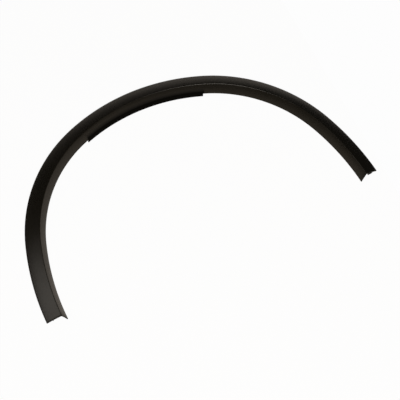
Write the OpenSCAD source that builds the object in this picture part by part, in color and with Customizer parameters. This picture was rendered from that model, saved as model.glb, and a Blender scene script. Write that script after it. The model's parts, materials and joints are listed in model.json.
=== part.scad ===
// Wheel arch trim: one long black moulding that edges the wheel opening of a car.
// Its section is a lopsided V. The broad face lies on the body side and the narrower
// flange turns into the wheel well. It lies show side up on its two long edges.
// X runs along the car, Y up the car side and Z out of the car.
// The origin is the middle of the base of the whole moulding.

/* [Arch, measured along the crease] */
// Radius of the flat stretch over the top of the wheel
top_r = 450; // [430:1:470]
// Turn of the crease from the middle of the top to where the shoulder starts, degrees
top_turn = 20.5; // [17:0.5:24]
// Radius of the tighter shoulders
shoulder_r = 336; // [320:1:352]
// Turn of each shoulder, degrees
shoulder_turn = 49.5; // [46:0.5:52]
// Radius of the straighter legs
leg_r = 588; // [560:1:620]
// Turn of the leg on the -X side, degrees
left_leg_turn = 18.4; // [14:0.1:19]
// Turn of the leg on the +X side, degrees
right_leg_turn = 16.6; // [14:0.1:19]
// Slope of the cut ends against the X axis, rising outwards, degrees
end_cut_slope = 12; // [0:0.5:16]
// Lean of the cut ends, by which both long edges run on past the crease, degrees
end_cut_lean = 5; // [0:0.5:8]

/* [Section] */
// Thickness of the moulding
wall = 2.5; // [2:0.1:3.2]
// Reach of the face outwards from the crease, seen from above
face_run = 33.7; // [28:0.1:40]
// Reach of the flange inwards from the crease, seen from above
flange_run = 13.6; // [11:0.1:16]
// Height of the crease above both long edges
edge_drop = 24; // [20:0.5:28]
// Crown of the face above its chord
face_crown = 0.8; // [0.4:0.1:1.4]
// Bow of the flange beyond its chord
flange_bow = 0.5; // [0.3:0.1:1.2]
// Radius of the crease, on the show side
crease_r = 1.2; // [0.8:0.1:2]
// Radius in the root of the V, on the hidden side
root_r = 1.5; // [0.8:0.1:2.5]
// Step at the witness lines that the mould's inserts leave at both ends of each shoulder
witness_step = 0.03; // [0.02:0.01:0.08]

/* [Lip under the top of the flange] */
// Half the turn that the lip spans, degrees
lip_turn = 19.3; // [12:0.1:20]
// Depth of the lip below the long edges
lip_drop = 9; // [4:0.1:11]
// Thickness of the lip at its foot
lip_wall = 2; // [1.6:0.1:2.6]
// Height above the long edges at which the flange starts to roll down into the lip
lip_roll = 9; // [7:0.5:12]
// Reach of the lip's foot inwards, beyond the flange
lip_reach = 1.6; // [0.4:0.1:2.4]
// Bow of the rolled surface
lip_bow = 1; // [0.6:0.1:1.5]

/* [Bearing rib behind the face] */
// Distance of the rib outwards from the crease
rib_run = 19; // [17:0.5:21]
// Thickness of the rib
rib_w = 2.2; // [1.6:0.1:3]
// Height of the rib
rib_h = 2.4; // [1.6:0.1:3.2]

/* [Clip housings behind the face] */
// Number of housings on each side of the middle one
housings_a_side = 4; // [3:1:5]
// Distance of the clip's hole outwards from the crease
seat_run = 15; // [13:0.5:15]
// Diameter of the hole that holds the neck of a push-in clip
seat_hole_d = 5.5; // [5:0.1:6]
// Width of the slot by which the clip slides into the hole
seat_slot_w = 3.6; // [3:0.1:3.9]
// Thickness of the seat plate
seat_plate = 2; // [1.5:0.1:2.5]
// Gap between the seat plate and the plane of the long edges
seat_gap = 0.5; // [0.3:0.1:1.5]
// Length of a housing along the trim
housing_l = 14; // [12:0.5:18]
// Thickness of the housing's walls
housing_wall = 1.6; // [1.2:0.1:2]
// Room between the hole and the side walls
housing_room = 1; // [0.6:0.1:1.4]
// Distance from the -X cut end to the nearest housing, along the crease
left_margin = 14; // [10:0.5:40]
// Distance from the +X cut end to the nearest housing, along the crease
right_margin = 4.5; // [4.5:0.5:40]

/* [Gussets in the root of the V] */
// Number of gussets between two neighbouring housings
gussets_a_bay = 2; // [1:1:3]
// Thickness of a gusset
gusset_w = 1.4; // [1:0.1:2]
// Reach of a gusset outwards, under the face
gusset_run = 12; // [8:0.5:16]
// Reach of a gusset downwards, behind the flange
gusset_drop = 14; // [10:0.5:17]

/* [Hidden] */
black = [0.09, 0.085, 0.075];
// Turn by which an arc runs past its joint before it is squared off, and the block that does it
past_end = 3;
joint_block = 120;
overlap = 1;

// Points of one round stretch of an outline, and the steps each kind of stretch takes
function arc(centre, r, from, to, steps) =
    [for (i = [0:steps]) let (a = from + (to - from) * i / steps) centre + r * [cos(a), sin(a)]];
face_steps = 6;
flange_steps = 8;
tip_steps = 6;
crease_steps = 6;
root_steps = 4;

function bearing(centre, point) = (atan2(point.y - centre.y, point.x - centre.x) + 360) % 360;
function left_of(a, b) = [a.y - b.y, b.x - a.x] / norm(b - a);
// Radius and centre of the arc from a to b that stands proud of its chord on the left
function bow_r(a, b, rise) = (pow(norm(b - a) / 2, 2) + rise * rise) / (2 * rise);
function bow_centre(a, b, rise) = (a + b) / 2 - left_of(a, b) * (bow_r(a, b, rise) - rise);
// Crossing of two circles that lies to the left of the way from the first centre to the second
function circles_meet(c1, r1, c2, r2) =
    let (
        span = norm(c2 - c1),
        along = (r1 * r1 - r2 * r2 + span * span) / (2 * span)
    )
    c1 + (c2 - c1) / span * along + left_of(c1, c2) * sqrt(r1 * r1 - along * along);
// First crossing of a circle by a straight way from p that heads outwards
function way_meets(p, heading, centre, r) =
    let (
        back = (p - centre) * heading,
        gap = (p - centre) * (p - centre) - r * r
    )
    p + heading * (sqrt(back * back - gap) - back);

// The section, drawn with X outwards and Y up from the crease
half_wall = wall / 2;
outer_tip = [face_run - half_wall, half_wall - edge_drop];
inner_tip = [half_wall - flange_run, half_wall - edge_drop];
face_start = -left_of([0, 0], outer_tip) * half_wall;
flange_start = -left_of(inner_tip, [0, 0]) * half_wall;
face_r = bow_r(face_start, outer_tip, face_crown);
face_c = bow_centre(face_start, outer_tip, face_crown);
flange_r = bow_r(inner_tip, flange_start, flange_bow);
flange_c = bow_centre(inner_tip, flange_start, flange_bow);
crease_c = circles_meet(face_c, face_r + half_wall - crease_r, flange_c, flange_r + half_wall - crease_r);
root_c = circles_meet(face_c, face_r - half_wall - root_r, flange_c, flange_r - half_wall - root_r);

// Height of the middle of the face's wall, and of its hidden side, at a distance from the crease
function face_middle(x) = face_c.y + sqrt(face_r * face_r - pow(x - face_c.x, 2));
function face_back(x) = face_c.y + sqrt(pow(face_r - half_wall, 2) - pow(x - face_c.x, 2));
// Distance from the crease of the middle of the flange's wall at a height
function flange_middle(y) = flange_c.x - sqrt(flange_r * flange_r - pow(y - flange_c.y, 2));
function flange_skin(y) = flange_c.x - sqrt(pow(flange_r + half_wall, 2) - pow(y - flange_c.y, 2));

// The plan of the crease, drawn with the middle of the top on the Y axis
shoulder_c = (top_r - shoulder_r) * [sin(top_turn), cos(top_turn)];
leg_start_turn = top_turn + shoulder_turn;
leg_c = shoulder_c + (shoulder_r - leg_r) * [sin(leg_start_turn), cos(leg_start_turn)];
top_length = top_r * top_turn * PI / 180;
shoulder_length = shoulder_r * shoulder_turn * PI / 180;
function leg_length(turn) = leg_r * turn * PI / 180;
function side_length(turn) = top_length + shoulder_length + leg_length(turn);

// Turn and place of the crease at a distance from the middle of the top
function turn_at(s) =
    s < top_length ? s / top_r * 180 / PI
    : s < top_length + shoulder_length ? top_turn + (s - top_length) / shoulder_r * 180 / PI
    : leg_start_turn + (s - top_length - shoulder_length) / leg_r * 180 / PI;
function centre_at(s) =
    s < top_length ? [0, 0] : s < top_length + shoulder_length ? shoulder_c : leg_c;
function radius_at(s) =
    s < top_length ? top_r : s < top_length + shoulder_length ? shoulder_r : leg_r;
function crease_at(s) = centre_at(s) + radius_at(s) * [sin(turn_at(s)), cos(turn_at(s))];

// Corners of a cut end, and the middle of the base of the whole moulding
function cut_corner(turn, reach) =
    let (outwards = [cos(end_cut_slope), sin(end_cut_slope)])
    way_meets(crease_at(side_length(turn)) - outwards * 2 * flange_run, outwards, leg_c, leg_r + reach);
right_reach = cut_corner(right_leg_turn, face_run).x;
left_reach = cut_corner(left_leg_turn, face_run).x;
lowest_y = min(cut_corner(right_leg_turn, -flange_run).y, cut_corner(left_leg_turn, -flange_run).y);
highest_y = top_r + face_run;
base_middle = [(right_reach - left_reach) / 2, (highest_y + lowest_y) / 2];

// Distances from the middle of the top to each housing of a side
function housing_pitch(turn, margin) =
    (side_length(turn) - margin - housing_l / 2) / housings_a_side;

// The V with its rounded crease, tips and root
module v_section() {
    tip_face = bearing(face_c, outer_tip);
    tip_flange = bearing(flange_c, inner_tip);
    crease_face = bearing(face_c, crease_c);
    crease_flange = bearing(flange_c, crease_c);
    root_face = bearing(face_c, root_c);
    root_flange = bearing(flange_c, root_c);
    polygon(concat(
        arc(outer_tip, half_wall, tip_face - 180, tip_face, tip_steps),
        arc(face_c, face_r + half_wall, tip_face, crease_face, face_steps),
        arc(crease_c, crease_r, crease_face, crease_flange, crease_steps),
        arc(flange_c, flange_r + half_wall, crease_flange, tip_flange, flange_steps),
        arc(inner_tip, half_wall, tip_flange, tip_flange + 180, tip_steps),
        arc(flange_c, flange_r - half_wall, tip_flange, root_flange, flange_steps),
        arc(root_c, root_r, root_flange, root_face, root_steps),
        arc(face_c, face_r - half_wall, root_face, tip_face, face_steps)
    ));
}

// The bearing rib, rooted in the middle of the face's wall
module rib_section() {
    translate([rib_run - rib_w / 2, face_back(rib_run) - rib_h])
        square([rib_w, face_middle(rib_run) - face_back(rib_run) + rib_h]);
}

// The lip, which leaves the flange's skin in a bow and ends in a round foot
module lip_section() {
    start = [flange_skin(lip_roll - edge_drop), lip_roll - edge_drop];
    foot = [-flange_run - lip_reach, lip_wall / 2 - edge_drop - lip_drop];
    bow_c = bow_centre(foot, start, lip_bow);
    bow_radius = bow_r(foot, start, lip_bow);
    foot_c = foot + [lip_wall / 2, 0];
    polygon(concat(
        arc(bow_c, bow_radius, bearing(bow_c, start), bearing(bow_c, foot), flange_steps),
        arc(foot_c, lip_wall / 2, 180, 360, tip_steps),
        [[flange_middle(half_wall - edge_drop) + half_wall, inner_tip.y], [flange_middle(start.y), start.y]]
    ));
}

module moulded_section() {
    v_section();
    rib_section();
}

// Sweeps a section clockwise from the Y axis, round the arc's centre
module clockwise_sweep(r, turn) {
    rotate_extrude(angle = turn, start = 90 - turn, $fn = 360)
        translate([r, 0])
            children();
}

// A block with one side on the Y axis, which squares off what runs past a joint there
module past_joint(r) {
    translate([0, r - joint_block / 2, -joint_block / 2])
        cube(joint_block);
}

// The top, from one joint with a shoulder to the other
module top_moulding() {
    difference() {
        rotate([0, 0, top_turn + past_end])
            clockwise_sweep(top_r, 2 * (top_turn + past_end)) moulded_section();
        for (side = [0, 1])
            mirror([side, 0, 0])
                rotate([0, 0, -top_turn])
                    past_joint(top_r);
    }
}

// One shoulder and leg on the +X side, each arc carried on from the joint before it
module side_moulding(turn) {
    rotate([0, 0, -top_turn])
        translate([0, top_r - shoulder_r, 0]) {
            difference() {
                clockwise_sweep(shoulder_r, shoulder_turn + past_end)
                    offset(delta = -witness_step)
                        moulded_section();
                rotate([0, 0, -shoulder_turn]) past_joint(shoulder_r);
            }
            rotate([0, 0, -shoulder_turn])
                translate([0, shoulder_r - leg_r, 0])
                    difference() {
                        clockwise_sweep(leg_r, turn + past_end) moulded_section();
                        rotate([0, 0, -turn])
                            translate([0, leg_r, -edge_drop])
                                rotate([-end_cut_lean, 0, leg_start_turn + turn + end_cut_slope])
                                    translate([-joint_block / 2, -joint_block, -joint_block / 2])
                                        cube(joint_block);
                    }
        }
}

// Stands a piece at a distance along the +X side, with X outwards and Y towards the middle of the top
module at_crease(s) {
    translate(crease_at(s))
        rotate([0, 0, 90 - turn_at(s)])
            children();
}

// A housing under the face: three walls and a seat plate with a keyhole that opens towards the top
module clip_housing() {
    side = seat_hole_d / 2 + housing_room + housing_wall;
    base_z = seat_gap - edge_drop;
    difference() {
        translate([seat_run - side, -housing_l / 2, base_z])
            cube([2 * side, housing_l, seat_plate]);
        translate([seat_run, 0, base_z - overlap])
            cylinder(d = seat_hole_d, h = seat_plate + 2 * overlap, $fn = 48);
        translate([seat_run - seat_slot_w / 2, 0, base_z - overlap])
            cube([seat_slot_w, housing_l, seat_plate + 2 * overlap]);
    }
    for (x = [seat_run - side, seat_run + side - housing_wall])
        translate([x, -housing_l / 2, base_z])
            cube([housing_wall, housing_l, face_middle(x + housing_wall / 2) - base_z]);
    translate([0, housing_wall - housing_l / 2, 0])
        rotate([90, 0, 0])
            linear_extrude(housing_wall)
                polygon([
                    [seat_run - side, base_z],
                    [seat_run + side, base_z],
                    [seat_run + side, face_middle(seat_run + side)],
                    [seat_run - side, face_middle(seat_run - side)]
                ]);
}

// A thin web across the root of the V
module gusset() {
    translate([0, gusset_w / 2, 0])
        rotate([90, 0, 0])
            linear_extrude(gusset_w)
                polygon([
                    (face_start + flange_start) / 2,
                    [flange_middle(-gusset_drop), -gusset_drop],
                    [gusset_run, face_middle(gusset_run)]
                ]);
}

// The housings and gussets of the +X side
module side_fixings(turn, margin) {
    pitch = housing_pitch(turn, margin);
    for (i = [1:housings_a_side])
        at_crease(i * pitch) clip_housing();
    for (i = [0:housings_a_side - 1], j = [1:gussets_a_bay])
        at_crease((i + j / (gussets_a_bay + 1)) * pitch) gusset();
}

module wheel_arch_trim() {
    color(black)
        translate([-base_middle.x, -base_middle.y, edge_drop + lip_drop]) {
            top_moulding();
            rotate([0, 0, lip_turn])
                clockwise_sweep(top_r, 2 * lip_turn) lip_section();
            at_crease(0) clip_housing();
            side_moulding(right_leg_turn);
            side_fixings(right_leg_turn, right_margin);
            mirror([1, 0, 0]) {
                side_moulding(left_leg_turn);
                side_fixings(left_leg_turn, left_margin);
            }
        }
}

wheel_arch_trim();
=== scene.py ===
# %% [markdown]
# # A wheel arch trim
# The part is one long black moulding that edges the wheel opening of a car. It is one solid
# piece of plastic, so the scene has one visible piece, and nothing on it moves.
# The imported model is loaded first, because every size and place below is set against it.

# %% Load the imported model
import json
import math

import bpy
from mathutils import Matrix, Vector

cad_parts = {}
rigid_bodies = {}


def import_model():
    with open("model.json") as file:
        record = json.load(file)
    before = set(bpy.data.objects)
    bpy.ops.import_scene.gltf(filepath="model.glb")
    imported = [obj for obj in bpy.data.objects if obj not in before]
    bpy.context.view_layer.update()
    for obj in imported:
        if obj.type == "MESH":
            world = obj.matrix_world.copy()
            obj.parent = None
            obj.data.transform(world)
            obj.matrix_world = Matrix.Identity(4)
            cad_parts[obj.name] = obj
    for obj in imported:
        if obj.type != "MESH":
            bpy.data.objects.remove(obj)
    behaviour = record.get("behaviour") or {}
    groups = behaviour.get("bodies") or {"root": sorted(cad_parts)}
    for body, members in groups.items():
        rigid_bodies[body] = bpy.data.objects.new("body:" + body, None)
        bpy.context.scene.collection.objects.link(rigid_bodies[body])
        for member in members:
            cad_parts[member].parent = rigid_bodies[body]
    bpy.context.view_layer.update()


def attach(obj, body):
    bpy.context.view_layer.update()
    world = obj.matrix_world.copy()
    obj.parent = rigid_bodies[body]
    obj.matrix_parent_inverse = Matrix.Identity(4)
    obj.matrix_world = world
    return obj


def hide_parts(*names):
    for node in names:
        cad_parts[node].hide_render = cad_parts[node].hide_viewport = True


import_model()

bpy.ops.object.select_all(action="DESELECT")

# %% [markdown]
# ## The camera
# The photograph was taken from far away with a long lens, so the far leg is hardly smaller
# than the near one. A camera can be placed by eye, or by working out from the picture where
# the ends and the crease of a known shape would fall. The second way was used here. The
# camera looks down on the trim, which lies show side up, and it is rolled to the side.

# %% Camera
camera_place = Vector((-1.1734, -1.6481, 4.0054))
camera_aim = Vector((0.0119, -0.0995, 0.0330))
camera_roll = math.radians(11.21)
lens_mm = 176.6

backwards = (camera_place - camera_aim).normalized()
level = backwards.to_track_quat("Z", "Y").to_matrix().to_4x4()
bpy.ops.object.camera_add(location=camera_place)
camera = bpy.context.object
camera.name = "camera"
camera.data.lens = lens_mm
camera.data.sensor_width = 36
camera.matrix_world = Matrix.Translation(camera_place) @ level @ Matrix.Rotation(camera_roll, 4, "Z")
camera.data.clip_start = 0.1
camera.data.clip_end = 50
bpy.context.scene.camera = camera
print("camera is", round((camera_place - camera_aim).length, 2), "m from the trim")

# %% [markdown]
# ## The plan of the trim
# Seen from above, the crease of the trim follows three radii: a flat top, two tighter
# shoulders and two straighter legs. Each arc carries on from the one before it without a
# kink, so it is enough to know each radius and how far the crease turns along it.

# %% Values of the plan, in millimetres and degrees
MM = 0.001
top_r, top_turn = 450, 20.5
shoulder_r, shoulder_turn = 336, 49.5
leg_r = 588
leg_turns = {1: 16.6, -1: 18.4}
end_cut_slope, end_cut_lean = 12, 5
face_run, flange_run, edge_drop = 33.7, 13.6, 24
lip_drop = 9


def towards(turn):
    """Direction in plan after turning clockwise from the Y axis, in degrees."""
    return Vector((math.sin(math.radians(turn)), math.cos(math.radians(turn))))


leg_start = top_turn + shoulder_turn
shoulder_c = (top_r - shoulder_r) * towards(top_turn)
leg_c = shoulder_c + (shoulder_r - leg_r) * towards(leg_start)


def crease_end(side):
    """The middle of a cut end, where the crease runs out, on the +X side's own drawing."""
    return leg_c + leg_r * towards(leg_start + leg_turns[side])


def meets(point, heading, centre, r):
    """First crossing of a circle by a straight way from a point that heads outwards."""
    back = (point - centre).dot(heading)
    gap = (point - centre).length_squared - r * r
    return point + heading * (math.sqrt(back * back - gap) - back)


def cut_corner(side, reach):
    """Corner of a cut end, where the slanted cut meets one of the long edges."""
    out = Vector((math.cos(math.radians(end_cut_slope)), math.sin(math.radians(end_cut_slope))))
    return meets(crease_end(side) - out * 2 * flange_run, out, leg_c, leg_r + reach)


reach_x = {side: cut_corner(side, face_run).x for side in leg_turns}
lowest_y = min(cut_corner(side, -flange_run).y for side in leg_turns)
plan_origin = -Vector(((reach_x[1] - reach_x[-1]) / 2, (top_r + face_run + lowest_y) / 2))
lift = edge_drop + lip_drop
print("centre of the top arc, mm:", [round(c, 2) for c in plan_origin], "crease height:", lift)

# %% [markdown]
# ## The section
# Cut across, the trim is a lopsided V, 2.5 mm thick. The broad face has a slight crown and
# the flange a slight bow, because flat plastic would look hollow under a lamp. Both long
# edges are round, and the crease has a small radius, along which the light runs as a thin
# line. A bearing rib runs behind the face. The outline is worked out once as points and
# traced by extruding a single vertex, as one would by hand.

# %% Values of the section, in millimetres
wall = 2.5
half_wall = wall / 2
face_crown, flange_bow = 0.8, 0.5
crease_r, root_r = 1.2, 1.5
rib_run, rib_w, rib_h, rib_ease = 19, 2.2, 2.4, 0.4
inside_box = 0.01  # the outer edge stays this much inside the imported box
tip_steps, face_steps, crease_steps, flange_steps = 8, 12, 8, 8
flange_back_steps, root_steps, root_to_rib_steps, rib_to_tip_steps = 12, 5, 6, 5
rib_steps = 3


# %% Helpers for outlines
def bearing(centre, point):
    return math.degrees(math.atan2(point.y - centre.y, point.x - centre.x)) % 360


def arc(centre, r, start, end, steps):
    angles = [math.radians(start + (end - start) * i / steps) for i in range(steps + 1)]
    return [centre + r * Vector((math.cos(a), math.sin(a))) for a in angles]


def left_of(a, b):
    return Vector((a.y - b.y, b.x - a.x)) / (b - a).length


def bow(a, b, rise):
    """Centre and radius of the arc from a to b that stands proud of its chord on the left."""
    r = ((b - a).length ** 2 / 4 + rise * rise) / (2 * rise)
    return (a + b) / 2 - left_of(a, b) * (r - rise), r


def circles_meet(c1, r1, c2, r2):
    span = (c2 - c1).length
    along = (r1 * r1 - r2 * r2 + span * span) / (2 * span)
    return c1 + (c2 - c1) / span * along + left_of(c1, c2) * math.sqrt(r1 * r1 - along * along)


def eased(before, corner, after, size, steps=4):
    """A corner softened into a short curve that starts and ends size away from it."""
    a = corner + (before - corner).normalized() * size
    b = corner + (after - corner).normalized() * size
    ways = [i / steps for i in range(steps + 1)]
    return [a * (1 - t) ** 2 + corner * 2 * t * (1 - t) + b * t * t for t in ways]


# %% Centres and radii of the section
crease = Vector((0, 0))
outer_tip = Vector((face_run - half_wall - inside_box, half_wall - edge_drop))
inner_tip = Vector((half_wall - flange_run, half_wall - edge_drop))
face_start = -left_of(crease, outer_tip) * half_wall
flange_start = -left_of(inner_tip, crease) * half_wall
face_c, face_r = bow(face_start, outer_tip, face_crown)
flange_c, flange_r = bow(inner_tip, flange_start, flange_bow)
crease_c = circles_meet(face_c, face_r + half_wall - crease_r, flange_c, flange_r + half_wall - crease_r)
root_c = circles_meet(face_c, face_r - half_wall - root_r, flange_c, flange_r - half_wall - root_r)


def face_back(x):
    """Height of the hidden side of the face at a distance from the crease."""
    return face_c.y + math.sqrt((face_r - half_wall) ** 2 - (x - face_c.x) ** 2)


def face_middle(x):
    return face_c.y + math.sqrt(face_r ** 2 - (x - face_c.x) ** 2)


def flange_middle(y):
    return flange_c.x - math.sqrt(flange_r ** 2 - (y - flange_c.y) ** 2)


def flange_skin(y):
    return flange_c.x - math.sqrt((flange_r + half_wall) ** 2 - (y - flange_c.y) ** 2)


print("face radius", round(face_r, 1), "mm, flange radius", round(flange_r, 1), "mm")


# %% Outline of the section
def v_outline():
    tip_face, tip_flange = bearing(face_c, outer_tip), bearing(flange_c, inner_tip)
    crease_face, crease_flange = bearing(face_c, crease_c), bearing(flange_c, crease_c)
    root_face, root_flange = bearing(face_c, root_c), bearing(flange_c, root_c)
    near = rib_run - rib_w / 2
    far = rib_run + rib_w / 2
    low = face_back(rib_run) - rib_h
    rib = [Vector((near, face_back(near)))]
    rib += eased(rib[0], Vector((near, low)), Vector((far, low)), rib_ease, rib_steps)
    rib += eased(Vector((near, low)), Vector((far, low)), Vector((far, face_back(far))), rib_ease, rib_steps)
    rib += [Vector((far, face_back(far)))]
    inner = face_r - half_wall
    return (
        arc(outer_tip, half_wall, tip_face - 180, tip_face, tip_steps)
        + arc(face_c, face_r + half_wall, tip_face, crease_face, face_steps)[1:]
        + arc(crease_c, crease_r, crease_face, crease_flange, crease_steps)[1:]
        + arc(flange_c, flange_r + half_wall, crease_flange, tip_flange, flange_steps)[1:]
        + arc(inner_tip, half_wall, tip_flange, tip_flange + 180, tip_steps)[1:]
        + arc(flange_c, flange_r - half_wall, tip_flange, root_flange, flange_back_steps)[1:]
        + arc(root_c, root_r, root_flange, root_face, root_steps)[1:]
        + arc(face_c, inner, root_face, bearing(face_c, rib[0]), root_to_rib_steps)[1:]
        + rib[1:]
        + arc(face_c, inner, bearing(face_c, rib[-1]), tip_face, rib_to_tip_steps)[1:-1]
    )


print("points round the section:", len(v_outline()))


# %% [markdown]
# ## Tracing an outline and sweeping it
# A plane merged to one vertex is the pencil: each extrude draws the next line of the
# outline, and the last edge closes it. Spin then sweeps the outline round the centre of an
# arc. It leaves the far end selected, so the next arc can carry on from there. With no
# window open, a positive angle turns clockwise when seen from above, which is the way
# that the turns are counted here.

# %% Helpers that draw, sweep and finish a mesh
same_place, on_plane = 1e-6, 1e-7  # metres


def in_section(point, turn=0):
    """Place in the scene of a point of the section that stands at a turn of the top arc."""
    plan = plan_origin + towards(turn) * (top_r + point.x)
    return Vector((plan.x, plan.y, lift + point.y)) * MM


def select_only(piece):
    bpy.ops.object.select_all(action="DESELECT")
    piece.select_set(True)
    bpy.context.view_layer.objects.active = piece


def trace(name, points, filled=False):
    """Draws a closed outline from one vertex, and fills it where that is wanted."""
    bpy.ops.object.select_all(action="DESELECT")
    bpy.ops.mesh.primitive_plane_add(size=MM)
    piece = bpy.context.object
    piece.name = piece.data.name = name
    bpy.ops.object.mode_set(mode="EDIT")
    bpy.ops.mesh.merge(type="CENTER")
    bpy.ops.transform.translate(value=points[0])
    for a, b in zip(points, points[1:]):
        bpy.ops.mesh.extrude_region_move(TRANSFORM_OT_translate={"value": b - a})
    bpy.ops.object.mode_set(mode="OBJECT")
    for v in piece.data.vertices:
        v.select = v.index in (0, len(points) - 1)
    bpy.ops.object.mode_set(mode="EDIT")
    bpy.ops.mesh.edge_face_add()
    bpy.ops.mesh.select_all(action="SELECT")
    if filled:
        bpy.ops.mesh.edge_face_add()
    return piece


def spin(turn, centre, step_mm, r):
    """Sweeps what is selected round a centre in plan; turn is in degrees, clockwise."""
    steps = max(1, round(abs(math.radians(turn)) * r / step_mm))
    middle = plan_origin + centre
    bpy.ops.mesh.spin(
        steps=steps, angle=math.radians(turn), center=(middle.x * MM, middle.y * MM, 0), axis=(0, 0, 1)
    )


def count(piece):
    piece.data.calc_loop_triangles()
    return len(piece.data.loop_triangles)


def close_and_turn_out(piece):
    """Closes open ends and points every face outwards."""
    bpy.ops.mesh.select_all(action="SELECT")
    bpy.ops.mesh.fill_holes(sides=0)
    bpy.ops.mesh.select_all(action="SELECT")
    bpy.ops.mesh.normals_make_consistent(inside=False)
    bpy.ops.object.mode_set(mode="OBJECT")
    print(piece.name + ":", count(piece), "triangles")


# %% [markdown]
# ## The moulding
# The sweep starts at the middle of the top and runs down the +X side. Then the outline at
# the middle is picked again, by its place, and the sweep runs down the -X side. The last
# stretch of each leg is one long step that runs on past the end. A bisect cuts it off on
# the slant and closes it, and the bevel of the new rim then has room on all sides.

# %% Sweep the moulding
last_stretch, past_end = 0.9, 0.6
step_mm, last_step_mm = 3.6, 20
section = [in_section(p) for p in v_outline()]
moulding = trace("moulding", section)
for side in (1, -1):
    mirror = Vector((side, 1))
    spin(side * top_turn, Vector((0, 0)), step_mm, top_r)
    spin(side * shoulder_turn, shoulder_c * mirror, step_mm, shoulder_r)
    spin(side * (leg_turns[side] - last_stretch), leg_c * mirror, step_mm, leg_r)
    spin(side * (last_stretch + past_end), leg_c * mirror, last_step_mm, leg_r)
    if side == 1:
        bpy.ops.object.mode_set(mode="OBJECT")
        middle_x = plan_origin.x * MM
        for v in moulding.data.vertices:
            v.select = abs(v.co.x - middle_x) < same_place
        for e in moulding.data.edges:
            e.select = all(moulding.data.vertices[i].select for i in e.vertices)
        for f in moulding.data.polygons:
            f.select = False
        bpy.ops.object.mode_set(mode="EDIT")
bpy.ops.object.mode_set(mode="OBJECT")
print("moulding before the cuts:", count(moulding), "triangles")


# %% Cut both ends on the slant
end_ease = 0.25
bpy.ops.object.mode_set(mode="EDIT")
bpy.ops.mesh.select_all(action="SELECT")
bpy.ops.mesh.normals_make_consistent(inside=False)
for side in (1, -1):
    end = plan_origin + crease_end(side) * Vector((side, 1))
    slope, lean = math.radians(end_cut_slope), math.radians(end_cut_lean)
    upright_normal = Vector((side * math.sin(slope), -math.cos(slope), 0))
    normal = upright_normal * math.cos(lean) + Vector((0, 0, math.sin(lean)))
    bpy.ops.mesh.select_all(action="SELECT")
    bpy.ops.mesh.bisect(
        plane_co=(end.x * MM, end.y * MM, lip_drop * MM),
        plane_no=normal,
        use_fill=True,
        clear_outer=True,
        threshold=on_plane,
    )
    bpy.ops.mesh.bevel(offset=end_ease * MM, segments=2, affect="EDGES")
bpy.ops.mesh.select_all(action="SELECT")
bpy.ops.mesh.remove_doubles(threshold=same_place)
bpy.ops.mesh.normals_make_consistent(inside=False)
bpy.ops.object.mode_set(mode="OBJECT")
print("moulding:", count(moulding), "triangles")

# %% [markdown]
# ## The lip under the top
# Under the top of the arch the flange rolls down into a short lip, which covers the gap to
# the liner of the wheel well. It is part of the same moulding. Its outline is drawn as a
# bow that leaves the skin of the flange and ends in a round foot, and is swept as far as
# the lip runs. Both of its ends are square, and it runs a little further to the +X side.

# %% Lip
lip_start, lip_end = -19.3, 20.3
lip_wall, lip_roll, lip_reach, lip_bow = 2, 9, 1.6, 1
lip_steps, foot_steps = 10, 8


def lip_outline():
    start = Vector((flange_skin(lip_roll - edge_drop), lip_roll - edge_drop))
    foot = Vector((-flange_run - lip_reach, lip_wall / 2 - edge_drop - lip_drop))
    centre, r = bow(foot, start, lip_bow)
    inside_foot = Vector((flange_middle(half_wall - edge_drop) + half_wall, inner_tip.y))
    return (
        arc(centre, r, bearing(centre, start), bearing(centre, foot), lip_steps)
        + arc(foot + Vector((lip_wall / 2, 0)), lip_wall / 2, 180, 360, foot_steps)[1:]
        + [inside_foot, Vector((flange_middle(start.y), start.y))]
    )


lip = trace("lip", [in_section(p, turn=lip_start) for p in lip_outline()])
spin(lip_end - lip_start, Vector((0, 0)), step_mm, top_r)
close_and_turn_out(lip)

# %% [markdown]
# ## Clip housings on the hidden side
# Behind the face stand small housings. Each has three walls and a plate with a keyhole,
# into which the neck of a push-in clip slides. Real mouldings have them every 15 cm or so.
# One is cut out of a block with booleans, its edges are softened, and it is copied to each
# place along the crease, with a mirrored one for the other leg.

# %% Values of the housings and gussets, in millimetres
seat_run, seat_hole_d, seat_slot_w, seat_plate, seat_gap = 15, 5.5, 3.6, 2, 0.5
housing_l, housing_wall, housing_room = 14, 1.6, 1
housings_a_side, margins = 4, {1: 4.5, -1: 14}
gussets_a_bay, gusset_w, gusset_run, gusset_drop = 2, 1.4, 12, 14
fitting_ease, sharp_angle = 0.3, 40
tool_past = 1  # how far a cutting block runs past what it cuts
housing_side = seat_hole_d / 2 + housing_room + housing_wall
base_z = seat_gap - edge_drop


# %% Helpers for blocks and cuts
def block(name, low, high):
    """A cube that fills the room between two corners, in millimetres."""
    low, high = Vector(low) * MM, Vector(high) * MM
    bpy.ops.object.select_all(action="DESELECT")
    bpy.ops.mesh.primitive_cube_add(size=1, location=(low + high) / 2)
    piece = bpy.context.object
    piece.name = name
    piece.scale = high - low
    bpy.ops.object.transform_apply(location=True, rotation=True, scale=True)
    return piece


def combine(piece, tool, operation, solver="EXACT"):
    """Joins a tool to a piece or cuts it away, and removes the tool."""
    change = piece.modifiers.new("combine", "BOOLEAN")
    change.object, change.operation, change.solver = tool, operation, solver
    select_only(piece)
    bpy.ops.object.modifier_apply(modifier=change.name)
    bpy.data.objects.remove(tool, do_unlink=True)


def soften(piece, size):
    """Rounds the sharp edges of a piece with a narrow bevel."""
    change = piece.modifiers.new("soften", "BEVEL")
    change.width, change.segments = size * MM, 2
    change.limit_method, change.angle_limit = "ANGLE", math.radians(sharp_angle)
    select_only(piece)
    bpy.ops.object.modifier_apply(modifier=change.name)


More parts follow.
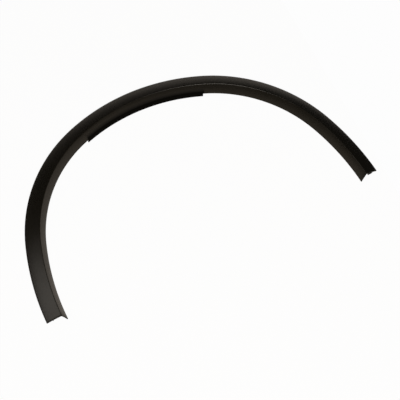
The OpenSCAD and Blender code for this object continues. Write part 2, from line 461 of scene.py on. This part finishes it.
# %% One housing
near_x, far_x = seat_run - housing_side, seat_run + housing_side
housing = block("housing", (near_x, -housing_l / 2, base_z), (far_x, housing_l / 2, 0))
for v in housing.data.vertices:
    if v.co.z > -same_place:
        v.co.z = face_middle(v.co.x / MM) * MM
beyond = 2 * housing_l
room = block(
    "room",
    (near_x + housing_wall, housing_wall - housing_l / 2, base_z + seat_plate),
    (far_x - housing_wall, beyond, beyond),
)
combine(housing, room, "DIFFERENCE")
slot = block(
    "slot",
    (seat_run - seat_slot_w / 2, 0, base_z - tool_past),
    (seat_run + seat_slot_w / 2, beyond, base_z + seat_plate + tool_past),
)
combine(housing, slot, "DIFFERENCE")
bpy.ops.object.select_all(action="DESELECT")
bpy.ops.mesh.primitive_cylinder_add(
    vertices=40, radius=seat_hole_d / 2 * MM, depth=(seat_plate + 2 * tool_past) * MM,
    location=(seat_run * MM, 0, (base_z + seat_plate / 2) * MM),
)
hole = bpy.context.object
combine(housing, hole, "DIFFERENCE")
soften(housing, fitting_ease)
print("one housing:", count(housing), "triangles")

# %% One gusset
gusset_points = [
    (face_start + flange_start) / 2,
    Vector((flange_middle(-gusset_drop), -gusset_drop)),
    Vector((gusset_run, face_middle(gusset_run))),
]
gusset = trace("gusset", [Vector((p.x, -gusset_w / 2, p.y)) * MM for p in gusset_points], filled=True)
bpy.ops.mesh.extrude_region_move(TRANSFORM_OT_translate={"value": (0, gusset_w * MM, 0)})
close_and_turn_out(gusset)
soften(gusset, fitting_ease)

# %% [markdown]
# ## Placing the copies
# A place along the crease is a distance from the middle of the top. It gives a turn, and
# the turn gives the way outwards. Each copy is moved and turned there, and its place is
# then applied to its own mesh.

# %% Places along the crease
top_l = math.radians(top_turn) * top_r
shoulder_l = math.radians(shoulder_turn) * shoulder_r


def side_length(side):
    return top_l + shoulder_l + math.radians(leg_turns[side]) * leg_r


def crease_place(s):
    """Turn and plan place of the crease at a distance from the middle of the top."""
    if s < top_l:
        turn, centre, r = math.degrees(s / top_r), Vector((0, 0)), top_r
    elif s < top_l + shoulder_l:
        turn, centre, r = top_turn + math.degrees((s - top_l) / shoulder_r), shoulder_c, shoulder_r
    else:
        turn, centre, r = leg_start + math.degrees((s - top_l - shoulder_l) / leg_r), leg_c, leg_r
    return turn, centre + r * towards(turn)


def copy_to(model, side, s):
    """A copy of a fitting at a distance along one side, mirrored on the -X side."""
    turn, place = crease_place(s)
    place = plan_origin + Vector((side * place.x, place.y))
    select_only(model)
    bpy.ops.object.duplicate(linked=False)
    copy = bpy.context.object
    if side < 0:
        copy.scale.y = -1
        bpy.ops.object.transform_apply(location=False, rotation=False, scale=True)
        bpy.ops.object.mode_set(mode="EDIT")
        bpy.ops.mesh.select_all(action="SELECT")
        bpy.ops.mesh.normals_make_consistent(inside=False)
        bpy.ops.object.mode_set(mode="OBJECT")
    copy.location = Vector((place.x, place.y, lift)) * MM
    copy.rotation_euler.z = math.radians(90 - side * turn)
    bpy.ops.object.transform_apply(location=True, rotation=True, scale=True)
    return copy


# %% Copy the housings and gussets
fittings = [copy_to(housing, 1, 0)]
for side in (1, -1):
    pitch = (side_length(side) - margins[side] - housing_l / 2) / housings_a_side
    for bay in range(housings_a_side):
        fittings.append(copy_to(housing, side, (bay + 1) * pitch))
        for step in range(1, gussets_a_bay + 1):
            fittings.append(copy_to(gusset, side, (bay + step / (gussets_a_bay + 1)) * pitch))
for model in (housing, gusset):
    bpy.data.objects.remove(model, do_unlink=True)
print("fittings behind the face:", len(fittings))

# %% Make it one moulding
select_only(lip)
for piece in fittings:
    piece.select_set(True)
bpy.ops.object.join()
before = count(moulding)
combine(moulding, lip, "UNION", solver="MANIFOLD")
assert count(moulding) > before, "the union left the moulding as it was"
moulding.name = moulding.data.name = "arch_moulding"
print("whole moulding:", count(moulding), "triangles")

# %% [markdown]
# ## Floor, light and background
# The trim lies on a pale, slightly warm sheet, whose right edge is close beside the right leg.
# The camera sees the sheet and all that lies beyond it as white, and a mirroring surface sees
# a little of that white on the sheet. Black plastic shows little but what it mirrors: the
# flanges mirror the sheet, and the right leg's broad face mirrors the dark room beyond the
# sheet's edge, which is why it is the darkest part of the trim. Two soft, wide lamps light
# it plainly.

# %% Helpers for nodes
def feed(tree, node, inputs):
    """Feeds the inputs of a node with values or with the outputs of other nodes."""
    for key, source in inputs.items():
        if isinstance(source, bpy.types.NodeSocket):
            tree.links.new(source, node.inputs[key])
        else:
            node.inputs[key].default_value = source
    return node


def add_node(tree, kind, inputs={}):
    return feed(tree, tree.nodes.new(kind), inputs)


def arithmetic(tree, operation, *sources, clamp=False):
    """One step of arithmetic between outputs or numbers."""
    node = add_node(tree, "ShaderNodeMath")
    node.operation, node.use_clamp = operation, clamp
    return feed(tree, node, dict(enumerate(sources))).outputs[0]


# %% Floor
sheet_left, sheet_right, sheet_low, sheet_high = -1.2, 0.445, -1.2, 1.6
sheet_paint, plain_white = (0.62, 0.555, 0.48, 1), (1, 1, 1, 1)
seen_white, mirrored_white = 0.96, 0.08  # shares of white that the two kinds of ray see
bpy.ops.object.select_all(action="DESELECT")
bpy.ops.mesh.primitive_plane_add(
    size=1, location=((sheet_left + sheet_right) / 2, (sheet_low + sheet_high) / 2, 0)
)
floor = bpy.context.object
floor.name = "floor"
floor.scale = (sheet_right - sheet_left, sheet_high - sheet_low, 1)
bpy.ops.object.transform_apply(location=True, rotation=True, scale=True)
floor_look = bpy.data.materials.new("pale_sheet")
floor_look.use_nodes = True
sheet = floor_look.node_tree
sheet.nodes.clear()
paint = add_node(sheet, "ShaderNodeBsdfDiffuse", {"Color": sheet_paint})
white = add_node(sheet, "ShaderNodeEmission", {"Color": plain_white})
path = add_node(sheet, "ShaderNodeLightPath").outputs
mirrored = arithmetic(sheet, "ADD", path["Is Glossy Ray"], path["Is Transmission Ray"], clamp=True)
mirrored_share = arithmetic(sheet, "MULTIPLY", mirrored, mirrored_white)
share = arithmetic(sheet, "MULTIPLY_ADD", path["Is Camera Ray"], seen_white, mirrored_share)
mix = add_node(sheet, "ShaderNodeMixShader", {0: share, 1: paint.outputs[0], 2: white.outputs[0]})
add_node(sheet, "ShaderNodeOutputMaterial", {"Surface": mix.outputs[0]})
floor.data.materials.append(floor_look)
print("sheet, m:", [round(c, 3) for c in floor.dimensions])


# %% Lamps and world
room_strength, seen_strength = 0.03, 0.982  # of the world, for other rays and for the camera


def softbox(name, place, aim, size, power):
    place = Vector(place)
    bpy.ops.object.light_add(type="AREA", location=place)
    lamp = bpy.context.object
    lamp.name = name
    lamp.data.shape = "SQUARE"
    lamp.data.size = size
    lamp.data.energy = power
    lamp.rotation_euler = (place - Vector(aim)).to_track_quat("Z", "Y").to_euler()
    print(name + ":", power, "W,", round(place.length, 2), "m away")


softbox("front_lamp", place=(-0.5, -1.7, 2.4), aim=(-0.2, 0, 0), size=1.6, power=92)
softbox("side_lamp", place=(-2.34, 0.82, 1.57), aim=(-0.4, -0.15, 0), size=1.4, power=11.5)
world = bpy.data.worlds.new("studio")
bpy.context.scene.world = world
world.use_nodes = True
background = world.node_tree.nodes["Background"]
seen = add_node(world.node_tree, "ShaderNodeLightPath").outputs["Is Camera Ray"]
strength = add_node(
    world.node_tree, "ShaderNodeMapRange", {"Value": seen, "To Min": room_strength, "To Max": seen_strength}
)
feed(world.node_tree, background, {"Color": plain_white, "Strength": strength.outputs["Result"]})
bpy.context.scene.view_settings.view_transform = "Standard"

# %% [markdown]
# ## Black plastic with a fine grain
# Such trims are moulded in black plastic against an etched mould, so the skin has a grain
# finer than half a millimetre, and it shines softly where it grazes the light. Large, faint
# clouds in the roughness keep the long faces from looking like a computer drawing, the
# tint is a little warm, and handled ridges are rubbed slightly paler. The lip, the foot of
# the flange above it and the faces that point to -Y, the cut ends among them, are duller
# and blacker than the rest: partly a duller finish and partly painted shade.

# %% Values of the plastic
shine_tint = (1.0, 0.93, 0.84, 1)
near_black, paler_black = (0.0045, 0.0034, 0.0018, 1), (0.0062, 0.0049, 0.0030, 1)
# The second colour on the next line, with the weak shine on the line after, is painted shade, partly a duller
# finish: it goes on the lip, the foot of the flange above it and the faces that point to -Y.
rubbed_black, dull_shaded_black = (0.009, 0.0076, 0.0055, 1), (0.002, 0.0017, 0.0013, 1)
plain_shine, dull_shaded_shine, dull_roughness = 0.4, 0.02, 0.6
least_rough, most_rough, fine_rough = 0.26, 0.31, 0.006
colour_cells, rough_cells, fine_cells, grain_cells = 14, 9, 300, 2200  # to the metre
grain_strength, grain_depth = 0.1, 0.00005
# Painted shade on the flange is full inside the first of these distances and gone beyond the second.
dull_shade_within, plain_beyond = 0.4385, 0.4445  # metres in plan from the centre of the top arc
start_fade, end_fade = (-0.4, 0.1), (0.1, 0.5)  # degrees past the ends of the lip
sawn_normal, moulded_normal = -0.95, -0.92
flat_ridge, sharp_ridge, rubbed_most = 0.52, 0.62, 0.6
smooth_below = 35

plastic = bpy.data.materials.new("black_plastic")
plastic.use_nodes = True
skin_tree = plastic.node_tree
shader = skin_tree.nodes["Principled BSDF"]
feed(skin_tree, shader, {"Specular Tint": shine_tint})
where = add_node(skin_tree, "ShaderNodeTexCoord").outputs["Object"]
shape_of = add_node(skin_tree, "ShaderNodeNewGeometry").outputs


# %% Helpers for the plastic
def noise(cells, detail, roughness=0.5):
    """A noise texture on Object coordinates."""
    inputs = {"Vector": where, "Scale": cells, "Detail": detail, "Roughness": roughness}
    return add_node(skin_tree, "ShaderNodeTexNoise", inputs).outputs["Fac"]


def spread(source, low, high, start=0.3, stop=0.7):
    """Maps the values from start to stop onto a range; a noise seldom leaves 0.3 to 0.7."""
    inputs = {"Value": source, "From Min": start, "From Max": stop, "To Min": low, "To Max": high}
    return add_node(skin_tree, "ShaderNodeMapRange", inputs).outputs["Result"]


def combined(operation, first, second):
    return arithmetic(skin_tree, operation, first, second)


def vector_step(operation, *sources):
    node = add_node(skin_tree, "ShaderNodeVectorMath")
    node.operation = operation
    return feed(skin_tree, node, dict(enumerate(sources))).outputs


def blend(share, low, high, kind="VALUE"):
    """Goes from one value or colour to another as the share goes from 0 to 1."""
    node = add_node(skin_tree, "ShaderNodeMix")
    node.data_type = {"VALUE": "FLOAT", "RGBA": "RGBA"}[kind]
    place = {i.name: n for n, i in enumerate(node.inputs) if i.type == kind and i.name in "AB"}
    feed(skin_tree, node, {"Factor": share, place["A"]: low, place["B"]: high})
    return [o for o in node.outputs if o.type == kind][0]


# %% Where the plastic is dull and painted darker as shade
top_centre = (plan_origin.x * MM, plan_origin.y * MM, 0)
from_centre = vector_step("SUBTRACT", where, top_centre)["Vector"]
in_plan = vector_step("MULTIPLY", from_centre, (1, 1, 0))["Vector"]
distance = vector_step("LENGTH", in_plan)["Value"]
plan_parts = add_node(skin_tree, "ShaderNodeSeparateXYZ", {0: in_plan}).outputs
turn_there = combined("ARCTAN2", plan_parts["X"], plan_parts["Y"])
start_limits = [math.radians(lip_start + past) for past in start_fade]
end_limits = [math.radians(lip_end + past) for past in end_fade]
low_on_flange = spread(distance, 1, 0, dull_shade_within, plain_beyond)
past_start = spread(turn_there, 0, 1, *start_limits)
before_end = spread(turn_there, 1, 0, *end_limits)
# The lip and the foot of the flange above it get painted shade, partly a duller finish, which fades out up
# the flange.
lip_dull_shade_zone = combined("MULTIPLY", low_on_flange, combined("MULTIPLY", past_start, before_end))
facing = add_node(skin_tree, "ShaderNodeSeparateXYZ", {0: shape_of["Normal"]}).outputs
# Every face that points to -Y, the cut ends among them, gets the same painted shade, partly a duller finish.
sawn_dull_shade = spread(facing["Y"], 1, 0, sawn_normal, moulded_normal)
# Both masks together: less shine here and a blacker colour below, as painted shade, partly a duller finish.
dull_shade_share = combined("MAXIMUM", lip_dull_shade_zone, sawn_dull_shade)
feed(skin_tree, shader, {"Specular IOR Level": blend(dull_shade_share, plain_shine, dull_shaded_shine)})
print("the dull zone turns from", lip_start, "to", lip_end, "degrees")

# %% Clouds of a slightly paler black, and ridges rubbed paler
clouds = blend(spread(noise(colour_cells, 3), 0, 1), near_black, paler_black, "RGBA")
rubbed = spread(shape_of["Pointiness"], 0, rubbed_most, flat_ridge, sharp_ridge)
skin = blend(rubbed, clouds, rubbed_black, "RGBA")
# The dull zone takes the blacker colour of the painted shade.
feed(skin_tree, shader, {"Base Color": blend(dull_shade_share, skin, dull_shaded_black, "RGBA")})

# %% Roughness in large clouds with a fine break-up, and the etched grain
large = spread(noise(rough_cells, 2), least_rough, most_rough)
fine = spread(noise(fine_cells, 2), -fine_rough, fine_rough)
roughness = blend(dull_shade_share, combined("ADD", large, fine), dull_roughness)
grain_height = noise(grain_cells, 3, 0.6)
grain = add_node(
    skin_tree, "ShaderNodeBump", {"Strength": grain_strength, "Distance": grain_depth, "Height": grain_height}
)
feed(skin_tree, shader, {"Roughness": roughness, "Normal": grain.outputs["Normal"]})
print("nodes in the plastic:", len(skin_tree.nodes))

# %% Put the plastic on the moulding, hang it on the root body and hide the imported part
moulding.data.materials.clear()
moulding.data.materials.append(plastic)
select_only(moulding)
bpy.ops.object.shade_smooth_by_angle(angle=math.radians(smooth_below))
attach(moulding, "root")
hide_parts("wheel_arch_trim")
print("piece on the root body:", moulding.name)
